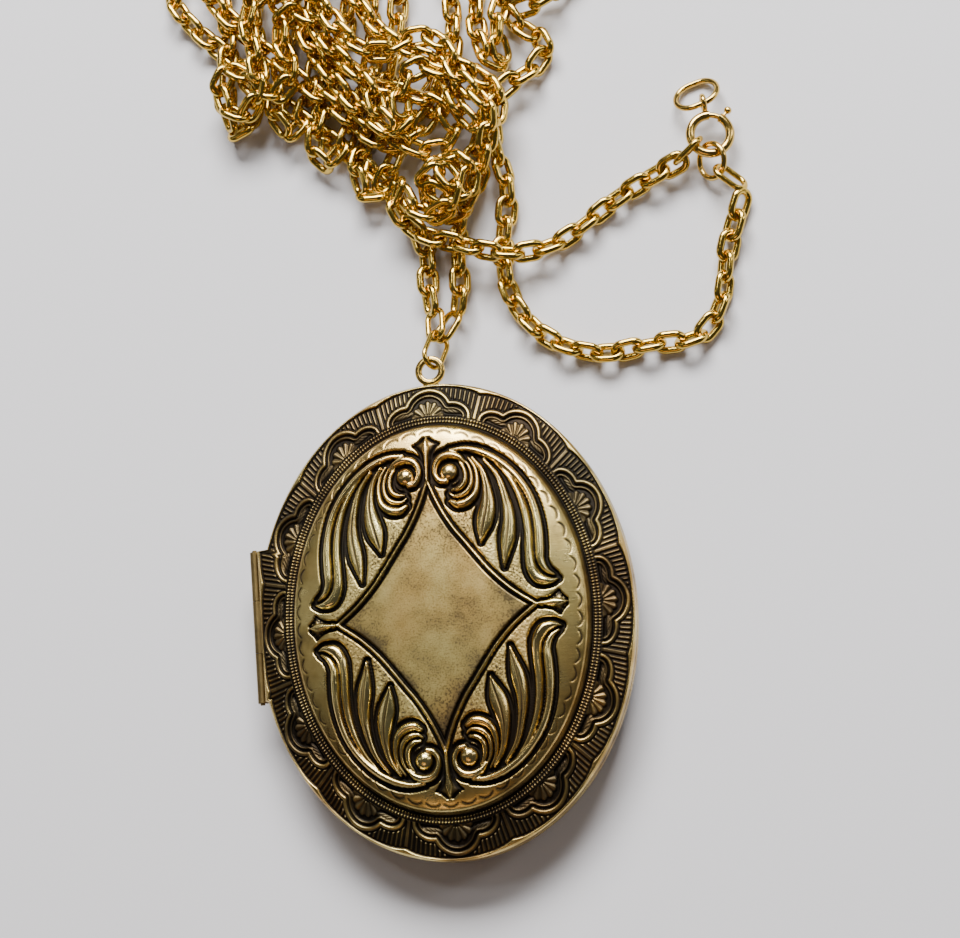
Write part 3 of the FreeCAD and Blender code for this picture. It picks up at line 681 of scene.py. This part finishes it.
LONG_LEAF = [
    [(6.9, 16.1, 0.14), (8.5, 14.2, 0.24), (9.6, 12.0, 0.32), (10.2, 9.8, 0.37), (10.4, 7.6, 0.4),
     (10.35, 5.4, 0.44), (10.5, 3.8, 0.52), (11.2, 2.65, 0.56), (12.3, 2.3, 0.34),
     (13.1, 2.45, 0.1)],
    [(2.6, 17.4, 0.2), (4.2, 17.4, 0.3), (5.9, 16.85, 0.36), (7.7, 15.7, 0.36), (9.3, 14.1, 0.34),
     (10.5, 12.2, 0.34), (11.2, 10.2, 0.36), (11.5, 8.0, 0.42), (11.5, 6.0, 0.44),
     (11.5, 4.6, 0.38), (12.0, 3.5, 0.28), (12.8, 2.9, 0.12)],
]
FRAME_LINE = [(0.0, 14.3, 0.2), (0.75, 12.3, 0.2), (1.55, 10.6, 0.2), (2.6, 8.8, 0.2),
              (3.7, 7.3, 0.2), (5.0, 5.5, 0.2), (6.4, 3.7, 0.2), (8.3, 1.8, 0.2), (10.7, 0.0, 0.2)]
TOP_DROP = [(0.0, 14.3, 0.14), (0.0, 16.0, 0.16), (0.0, 17.3, 0.3), (0.0, 17.9, 0.42),
            (0.0, 18.9, 0.04)]
SIDE_DROP = [(10.7, 0.0, 0.14), (11.5, 0.0, 0.2), (12.5, 0.0, 0.46), (13.1, 0.0, 0.4),
             (13.8, 0.0, 0.04)]
# Outlines of the finials: place along their axis, and half width.
TOP_GROUND = [(14.3, 0.22), (15.6, 0.28), (16.8, 0.34), (17.4, 0.5), (18.0, 0.9), (18.3, 1.28),
              (18.65, 0.6), (19.2, 0.0)]
SIDE_GROUND = [(10.9, 0.22), (11.8, 0.3), (12.4, 0.48), (12.85, 0.8), (13.15, 1.1), (13.5, 0.52),
               (14.05, 0.0)]

FAR_AWAY = 9.0
RECESS_DEPTH = 0.48
RECESS_EDGE = (0.26, 0.5)
LEAF_FOOT = 0.04
LEAF_RISE = 0.8
LEAST_RISE = 0.3
THIN_RISE = 0.22
RISE_BY_WIDTH = 1.15
BALL_SWELL = 1.05
RIDGE_FULLNESS = 1.2
VEIN_HALF = 0.1
VEIN_SPAN = (0.1, 0.4)
VEIN_DEPTH = 0.14
FRAME_RISE = 0.6
FRAME_GROOVE = (0.36, 0.56)
FINIAL_LEVEL = -0.26
FINIAL_RISE = 0.3
DROP_LEVEL = -0.2
DROP_RISE = 0.5
STIPPLE_OVAL = (12.9, 18.0)
STIPPLE_FADE = (0.86, 0.95)
STIPPLE_RISE = 0.022
FRAME_HOLLOW = 0.85
FINIAL_HOLLOW = 0.9
FINIAL_GROOVE = (-0.4, -0.24)
FINIAL_EDGE = (-0.08, 0.02)
RIDGE_FLATNESS = 0.6
BLADE_FLATNESS = 0.7
DIAMOND_MARGIN = 0.3
DIAMOND_MATTE = 0.35
POINT_MATTE = 0.3
POINT_SPAN = (3.0, 12.0)
SCALLOPS = 56
SCALLOP_INSET = 1.0
SCALLOP_SWING = 0.5
SCALLOP_HALF = 0.085
SCALLOP_DEPTH = 0.09
SCALLOP_SPAN = (0.1, 0.5)
# shares of patina, of painted shade and of a painted highlight, and the depths or places between
# which they come on
HOLLOW_SPAN = (0.04, 0.3)
VEIN_PATINA = 0.7
DIAMOND_PATINA, DIAMOND_SPAN = 0.3, (0.3, 2.4)
NICK_PATINA = 0.62
FACET_PATINA = 0.4
# painted shade: darker low on the diamond, at the pillow's bottom and along its sides
LOW_PAINTED_SHADE, LOW_SHADE_SPAN = 0.16, (2.0, 11.0)
BOTTOM_PAINTED_SHADE, BOTTOM_SHADE_SPAN = 0.12, (13.0, 17.0)
SIDE_PAINTED_SHADE, SIDE_SHADE_SPAN = 0.1, (11.5, 14.5)
# the crests lighter: rubbed clean of patina, and a painted highlight
CREST_POLISH_AND_HIGHLIGHT, CREST_HIGHLIGHT_SPAN = 0.22, (0.03, 0.2)


def leaf_relief(across, along):
    """Height of the scrolls, curls and leaves, the gap to the nearest one, and the veins."""
    gap = np.full(across.shape, FAR_AWAY)
    leaf = np.zeros(across.shape)
    vein = np.zeros(across.shape)
    for ridge in [VOLUTE, *CURL, *LONG_LEAF]:
        distance, width = nearest(across, along, smooth_curve(ridge))
        width = width * RIDGE_FULLNESS
        rise = np.clip(THIN_RISE + RISE_BY_WIDTH * width, LEAST_RISE, LEAF_RISE)
        leaf = np.maximum(leaf, rise * rounded(distance, width))
        gap = np.minimum(gap, distance - width)
    for blade in (LEAF_A, LEAF_B):
        distance, width = nearest(across, along, smooth_curve(blade))
        leaf = np.maximum(leaf, LEAF_RISE * rounded(distance, width) ** BLADE_FLATNESS)
        gap = np.minimum(gap, distance - width)
        vein = np.maximum(vein, np.exp(-(distance / VEIN_HALF) ** 2) * ease(width, *VEIN_SPAN))
    ball = np.hypot(across - SCROLL_BALL[0], along - SCROLL_BALL[1])
    leaf = np.maximum(leaf, BALL_SWELL * LEAF_RISE * rounded(ball, SCROLL_BALL[2]))
    gap = np.minimum(gap, ball - SCROLL_BALL[2])
    return leaf, gap, vein


def finial(outline, along_axis, away):
    """A faceted finial, 1 on its ridge, and the groove round it."""
    half = np.interp(along_axis, *zip(*outline), left=-1, right=-1)
    inside = half - away
    facet = np.clip(inside / np.maximum(half, 0.05), 0, 1)
    return facet, ease(inside, *FINIAL_GROOVE) * (1 - ease(inside, *FINIAL_EDGE))


def scallop_nicks(x, y):
    """Bright-cut scallops round the pillow's edge, 1 at the middle of a cut."""
    swing = np.abs(np.sin(math.pi * (ellipse_lap(x, y, WALL, SCALLOPS) + 0.5)))
    share = np.hypot(x / WALL[0], y / WALL[1])
    inset = (1 - share) * np.hypot(x, y) / np.maximum(share, 0.01)
    off = (inset - SCALLOP_INSET + SCALLOP_SWING * swing) / SCALLOP_HALF
    return np.exp(-off ** 2) * ease(swing, *SCALLOP_SPAN)


def pillow_ornament(x, y, chance):
    """Relief in mm, dark patina with painted shade and a painted highlight, and matte grain of the
    pillow at each place.
    """
    across, along = np.abs(x), np.abs(y)
    leaf, gap, vein = leaf_relief(across, along)
    recess = 1 - ease(gap, *RECESS_EDGE)
    frame_gap, frame_width = nearest(across, along, smooth_curve(FRAME_LINE))
    frame_rise = rounded(frame_gap, frame_width) ** RIDGE_FLATNESS
    frame_groove = 1 - ease(frame_gap, *FRAME_GROOVE)
    top_facet, top_groove = finial(TOP_GROUND, along, across)
    side_facet, side_groove = finial(SIDE_GROUND, across, along)
    facet = np.maximum(top_facet, side_facet)
    drop = np.zeros(x.shape)
    for shape in (TOP_DROP, SIDE_DROP):
        drop = np.maximum(drop, rounded(*nearest(across, along, smooth_curve(shape))))

    finial_groove = np.maximum(top_groove, side_groove)
    hollow = largest(recess, FRAME_HOLLOW * frame_groove, FINIAL_HOLLOW * finial_groove)
    relief = -RECESS_DEPTH * hollow
    relief = np.where(gap < 0, -RECESS_DEPTH + LEAF_FOOT + leaf - VEIN_DEPTH * vein, relief)
    framed = np.maximum(relief, -RECESS_DEPTH + FRAME_RISE * frame_rise)
    relief = np.where(frame_rise > 0, framed, relief)
    relief = np.where(facet > 0, FINIAL_LEVEL + FINIAL_RISE * facet, relief)
    relief = np.where(drop > 0, np.maximum(relief, DROP_LEVEL + DROP_RISE * drop), relief)

    # the ground round the leaves is stippled, the diamond inside the frame is only matte
    frame_x = np.interp(along, *zip(*[(point[1], point[0]) for point in reversed(FRAME_LINE)]))
    inside = (across < frame_x) & (along < FRAME_LINE[0][1])
    outline = np.hypot(across / STIPPLE_OVAL[0], along / STIPPLE_OVAL[1])
    stipple = np.where(inside, 0.0, 1 - ease(outline, *STIPPLE_FADE)) * (1 - np.clip(hollow, 0, 1))
    relief = relief + chance.uniform(-1, 1, x.shape) * STIPPLE_RISE * stipple
    diamond_matte = DIAMOND_MATTE + POINT_MATTE * ease(along, *POINT_SPAN)
    matte = np.where(inside & (frame_gap > DIAMOND_MARGIN), diamond_matte, stipple)

    nick = scallop_nicks(x, y)
    relief = relief - SCALLOP_DEPTH * nick

    # patina in the hollows, veins, cuts, finial edges and the diamond's border
    facet_edge = (facet > 0) * (1 - facet) * (1 - np.clip(2 * drop, 0, 1))
    dark = largest(ease(-relief, *HOLLOW_SPAN), VEIN_PATINA * vein * (gap < 0),
                   DIAMOND_PATINA * inside * (1 - ease(frame_gap, *DIAMOND_SPAN)),
                   NICK_PATINA * nick, FACET_PATINA * facet_edge)
    # painted shade: darker low on the diamond, at the pillow's bottom and along its sides
    dark = dark + LOW_PAINTED_SHADE * inside * ease(-y, *LOW_SHADE_SPAN)
    dark = dark + BOTTOM_PAINTED_SHADE * ease(-y, *BOTTOM_SHADE_SPAN) + SIDE_PAINTED_SHADE * ease(across, *SIDE_SHADE_SPAN)
    # the crests lighter: rubbed clean by hands, and a painted highlight
    dark = dark - CREST_POLISH_AND_HIGHLIGHT * ease(relief, *CREST_HIGHLIGHT_SPAN) * (1 - vein)
    return relief, dark, matte


# ---------------------------------------------------------------- the border's ornament
MOTIFS = 12
ARCH_HALF = 2.75
ARCH_HEIGHT = 2.8
SHOULDER_CENTRE = 2.95
SHOULDER_HALF = 2.0
SHOULDER_HEIGHT = 1.45
ARCH_RIDGE = 0.27
ARCH_RISE = 0.34
INNER_ARCH_INSET = 0.58
INNER_ARCH_RIDGE = 0.15
INNER_RISE = 0.26
ARCH_MARGIN = 0.72
FLUTES = 7
FAN_DROP = 0.35
FAN_REACH = 1.85
FAN_SCALLOP = 0.22
FAN_START = (0.3, 0.7)
FAN_EDGE = (0.0, 0.15)
FLUTE_FOOT, FLUTE_SWELL = 0.35, 0.65
SPRIG_MIDDLE = (2.9, 0.62)
SPRIG_HALF = (1.35, 0.36)
SPRIG_RISE = 0.2
SPRIG_VEIN_PITCH = 0.42
SPRIG_VEIN_SLANT = (0.8, 1.6)
BORDER_GROUND = -0.3
RIB_PITCH = 0.5
RIB_FOOT = 0.02
RIB_RISE = 0.17
RIB_GAP = (0.32, 0.42)
RIB_END = (0.0, 0.12)
RIM_LINE = 3.08
RIM_LINE_WAVE = 0.42
RIM_START = (0.06, 0.22)
RIM_RISE = 0.3
OUTLINE_POINTS = 60
# shares of patina: on the ground, and taken off the raised parts
GROUND_PATINA = 0.8
RIDGE_SHINE = 0.58
INNER_ARCH_SHINE = 0.36
INNER_SHINE = 1.4
RIB_SHINE = 0.42
RIM_SHINE = 0.78
LEAST_PATINA = 0.05


def arch_height(u):
    """Height of a motif's outline at u from its middle: an arch on two low shoulders."""
    lobe = ARCH_HEIGHT * np.sqrt(np.clip(1 - (u / ARCH_HALF) ** 2, 0, 1))
    off = (u - SHOULDER_CENTRE) / SHOULDER_HALF
    shoulder = SHOULDER_HEIGHT * np.sqrt(np.clip(1 - off ** 2, 0, 1))
    return np.maximum(lobe, shoulder)


def fan_shell(u, v):
    """A fluted shell under the arch."""
    turn = np.arctan2(u, v + FAN_DROP)
    spread = np.hypot(u, v + FAN_DROP)
    petal = np.abs(np.cos(turn * FLUTES))
    fan_end = FAN_REACH + FAN_SCALLOP * petal
    fan = np.where(spread < fan_end, FLUTE_FOOT + FLUTE_SWELL * petal, 0) * ease(spread, *FAN_START)
    return fan * ease(fan_end - spread, *FAN_EDGE)


def border_ornament(lap, v, motif_width):
    """Relief and patina of the border: lap counts the motifs, v is mm out from the band."""
    share = (lap + 0.5) % 1.0 - 0.5
    u = np.abs(share) * motif_width
    outline_u = np.linspace(0, SHOULDER_CENTRE + SHOULDER_HALF, OUTLINE_POINTS)
    outline = np.column_stack([outline_u, arch_height(outline_u),
                               np.full(OUTLINE_POINTS, ARCH_RIDGE)])
    distance, _ = nearest(u, v, outline)
    outward = np.where(v < arch_height(u), -distance, distance)
    ridge = rounded(outward, ARCH_RIDGE)
    second = rounded(outward + INNER_ARCH_INSET, INNER_ARCH_RIDGE)
    sprig_u = (u - SPRIG_MIDDLE[0]) / SPRIG_HALF[0]
    sprig_v = (v - SPRIG_MIDDLE[1]) / SPRIG_HALF[1]
    sprig = rounded(np.hypot(sprig_u, sprig_v), 1.0)
    slanted = u * SPRIG_VEIN_SLANT[0] + v * SPRIG_VEIN_SLANT[1]
    vein = np.abs(np.cos(slanted * math.pi / SPRIG_VEIN_PITCH))
    inner = np.maximum(INNER_RISE * fan_shell(u, v), SPRIG_RISE * sprig * (0.5 + 0.5 * vein))
    inner = inner * (outward < -ARCH_MARGIN)
    # ribs between the arches and the plain rim
    rib = 0.5 + 0.5 * np.cos(2 * math.pi * share * motif_width / RIB_PITCH)
    edge = RIM_LINE - RIM_LINE_WAVE * (u / (motif_width / 2)) ** 4
    rib_zone = ease(outward, *RIB_GAP) * ease(edge - v, *RIB_END)
    rim = ease(v - edge, *RIM_START)
    relief = BORDER_GROUND + ARCH_RISE * ridge + np.maximum(INNER_RISE * second, inner)
    relief = relief + rib_zone * (RIB_FOOT + RIB_RISE * rib) + RIM_RISE * rim
    dark = np.full(u.shape, GROUND_PATINA)
    dark = dark - RIDGE_SHINE * ridge ** 2 - INNER_ARCH_SHINE * second ** 2 - INNER_SHINE * inner
    dark = dark - rib_zone * RIB_SHINE * rib ** 2 - RIM_SHINE * rim
    return relief, np.clip(dark, LEAST_PATINA, 1)


# ---------------------------------------------------------------- covers
# shares are of the way out over a piece
RELIEF_EDGE = (0.985, 1.0)
FOOT_ROWS = (0.0, 0.35, 0.7, 1.0)
FOOT_CURVE = 0.8
WALL_PATINA, FOOT_PATINA = 0.1, 0.75
BEAD_START = 0.06
BEAD_MARGIN, BEAD_SPREAD = 0.08, 0.84
BEAD_SEAT = 0.06
BEAD_RISE = 0.17
BEAD_GROUND_PATINA = 0.84
BEAD_SHINE = 0.6
BORDER_FADE = 0.04
RIM_TURN = (0.93, 1.0)
RIM_DROP = 0.25
# rows down the rim's edge and in under it: inset, share of the fall, patina
RIM_EDGE = [(0.0, 0.35, 0.12), (0.0, 0.75, 0.1), (0.0, 1.0, 0.25),
            (-0.15, 1.0, 0.6), (-SHEET, 1.0, 0.8)]
INSIDE_WALL = 0.05
INSIDE_PATINA = 0.8


def make_pillow(name, side, count, seed):
    """The domed middle of a cover, with its ornament."""
    u, v = disc_grid(count)
    x, y = WALL[0] * u, WALL[1] * v
    share = np.clip(np.hypot(u, v), 0, 1)
    relief, dark, matte = pillow_ornament(x, y, np.random.default_rng(seed))
    level = WALL_LEVEL + PILLOW_RISE * (1 - share ** DOME_FLATNESS) ** DOME_ROUNDNESS
    level = level + relief * (1 - ease(share, *RELIEF_EDGE))
    faces = grid_faces(count, count, False)[:, ::-1]
    return relief_mesh(name, np.column_stack([x, y, level]), faces, dark, matte, side)


def make_milgrain(name, side, beads):
    """The pillow's foot with two rows of tiny beads round it."""
    columns = beads * BEAD_POINTS
    turns = even_turns(FOOT, columns)
    rows = []
    darks = []
    for share in FOOT_ROWS:
        level = WALL_LEVEL + (FOOT_LEVEL - WALL_LEVEL) * share ** FOOT_CURVE
        rows.append(ring_points(turns, WALL + (FOOT - WALL) * share, level))
        darks.append(np.full(columns, WALL_PATINA + FOOT_PATINA * share ** 2))
    bead = np.abs(np.cos(math.pi * beads * np.arange(columns) / columns))
    for share in np.linspace(BEAD_START, 1, BEAD_ROWS):
        over_beads = np.clip((share - BEAD_MARGIN) / BEAD_SPREAD, 0, 1)
        row_height = np.abs(np.sin(2 * math.pi * over_beads))
        height = row_height * bead
        level = FOOT_LEVEL - BEAD_SEAT + BEAD_RISE * height
        rows.append(ring_points(turns, FOOT + (BAND - FOOT) * share, level))
        darks.append(BEAD_GROUND_PATINA - BEAD_SHINE * height)
    verts = np.column_stack([np.concatenate([row[axis] for row in rows]) for axis in range(3)])
    faces = grid_faces(len(rows), columns, True)
    return relief_mesh(name, verts, faces, np.concatenate(darks), np.zeros(len(verts)), side)


def make_border(name, side, columns, border_rows):
    """The sloping border with its motifs, the rim's edge and the start of the inside wall."""
    middle = (RIM + BAND) / 2
    turns = even_turns(middle, columns)
    lap = MOTIFS * np.arange(columns) / columns
    motif_width = 2 * math.pi * math.sqrt((middle ** 2).mean()) / MOTIFS
    width = float((RIM - BAND).mean())
    rows = []
    darks = []
    for share in np.linspace(0, 1, border_rows):
        relief, dark = border_ornament(lap, np.full(columns, share * width), motif_width)
        fade = min(1.0, share / BORDER_FADE)
        level = BAND_LEVEL + (RIM_LEVEL - BAND_LEVEL) * share - RIM_DROP * ease(share, *RIM_TURN)
        x, y, _ = ring_points(turns, BAND + (RIM - BAND) * share, 0)
        rows.append((x, y, level + relief * fade, np.full(columns, share)))
        darks.append(dark)
    top = rows[-1][2]
    for inset, fall, dark in RIM_EDGE:
        x, y, _ = ring_points(turns, RIM + inset, 0)
        rows.append((x, y, top + (EDGE_LEVEL - top) * fall, np.full(columns, 1.0)))
        darks.append(np.full(columns, dark))
    x, y, _ = ring_points(turns, RIM - SHEET, 0)
    rows.append((x, y, np.full(columns, SHEET - INSIDE_WALL), np.full(columns, 1.0)))
    darks.append(np.full(columns, INSIDE_PATINA))
    x, y, level, share = (np.concatenate([row[axis] for row in rows]) for axis in range(4))
    # straight along the hinge
    rim_x, rim_y, _ = (np.tile(part, len(rows)) for part in ring_points(turns, RIM, 0))
    seat = (rim_x < 0) & (np.abs(rim_y - HINGE_MIDDLE) < HINGE_HALF)
    x = np.where(seat, x + share * (-HINGE_SEAT - rim_x), x)
    faces = grid_faces(len(rows), columns, True)
    return relief_mesh(name, np.column_stack([x, y, level]), faces, np.concatenate(darks),
                       np.zeros(len(x)), side)


def make_cover(name, side, body, node, detail):
    """One cover's pressed pieces; side is 1 in front and -1 at the rear.

    A detail of 1 gives all points, less gives that share of them.
    """
    pieces = [make_pillow(f"{name}_pillow", side, int(PILLOW_GRID * detail), PILLOW_SEED),
              make_milgrain(f"{name}_milgrain", side, int(BEADS * detail)),
              make_border(f"{name}_border", side, int(BORDER_COLUMNS * detail),
                          int(BORDER_ROWS * detail))]
    for piece in pieces:
        piece.data.materials.append(BRASS)
        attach(piece, body)
        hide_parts(node)


# ---------------------------------------------------------------- bail
BAIL_MIDDLE = (0.0, 27.36, 3.9)
BAIL_HOLE = 0.91
BAIL_OUTER = 1.66
BAIL_HALF_THICK = 0.27
BAIL_SECTIONS = 72
SECTION_POINTS = 16
NECK_ROWS = 9
NECK_HALF = 0.86
NECK_FLARE = 0.24
NECK_OVERLAP = 0.1
NECK_THINNING = 0.9
EYE_SQUARENESS = 0.6
NECK_SQUARENESS = 0.35


def squared(value, power):
    """A sine or cosine made flatter, for a section between round and square."""
    return math.copysign(abs(value) ** power, value)


def make_bail():
    """A stamped eye with rounded edges on a waisted neck that runs under the rear cover's rim."""
    middle_x, middle_y, middle_z = BAIL_MIDDLE
    section = [(math.cos(turn), math.sin(turn))
               for turn in np.linspace(0, 2 * math.pi, SECTION_POINTS + 1)[:-1]]
    verts = []
    half = (BAIL_OUTER - BAIL_HOLE) / 2
    for column in range(BAIL_SECTIONS):
        turn = 2 * math.pi * column / BAIL_SECTIONS
        for out, up in section:
            away = BAIL_HOLE + half + half * squared(out, EYE_SQUARENESS)
            lift = BAIL_HALF_THICK * squared(up, EYE_SQUARENESS)
            verts.append((middle_x + away * math.cos(turn), middle_y + away * math.sin(turn),
                          middle_z + lift))
    count = len(section)
    faces = ring_faces(BAIL_SECTIONS, count)
    # the neck's sections run from inside the eye's band down to the cover
    base = len(verts)
    top = middle_y - (BAIL_HOLE + BAIL_OUTER) / 2
    foot = RIM[1] - NECK_OVERLAP
    for row in range(NECK_ROWS):
        share = row / (NECK_ROWS - 1)
        half = NECK_HALF + NECK_FLARE * share ** 2
        place = top + (foot - top) * share
        for out, up in section:
            verts.append((half * squared(out, NECK_SQUARENESS), place,
                          middle_z + NECK_THINNING * BAIL_HALF_THICK * squared(up, EYE_SQUARENESS)))
    for row in range(NECK_ROWS - 1):
        for side in range(count):
            other = (side + 1) % count
            faces.append((base + row * count + side, base + row * count + other,
                          base + (row + 1) * count + other, base + (row + 1) * count + side))
    faces.append(tuple(base + side for side in reversed(range(count))))
    faces.append(tuple(base + (NECK_ROWS - 1) * count + side for side in range(count)))
    piece = mesh_object("bail_eye", [Vector(vert) * MM for vert in verts], faces)
    piece.data.materials.append(BRIGHT_GOLD)
    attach(piece, "rear_half")
    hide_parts("bail_loop")


# ---------------------------------------------------------------- making
for node_material, nodes in NODE_MATERIALS:
    for node in nodes:
        finish_node(node, node_material)

make_camera()
make_strand("chain_left_strand", LEFT_STRAND, LEFT_SEED,
            ["chain_lead_left", "chain_loop", "chain_heap"])
make_strand("chain_right_strand", RIGHT_STRAND, RIGHT_SEED,
            ["chain_lead_right", "chain_tail", "chain_heap"])
make_bail()
make_cover("front_cover", 1, "front_half", "front_cover", 1.0)
make_cover("rear_cover", -1, "rear_half", "rear_cover", REAR_DETAIL)
make_floor()
for light in LIGHTS:
    make_light(*light)
make_sky()
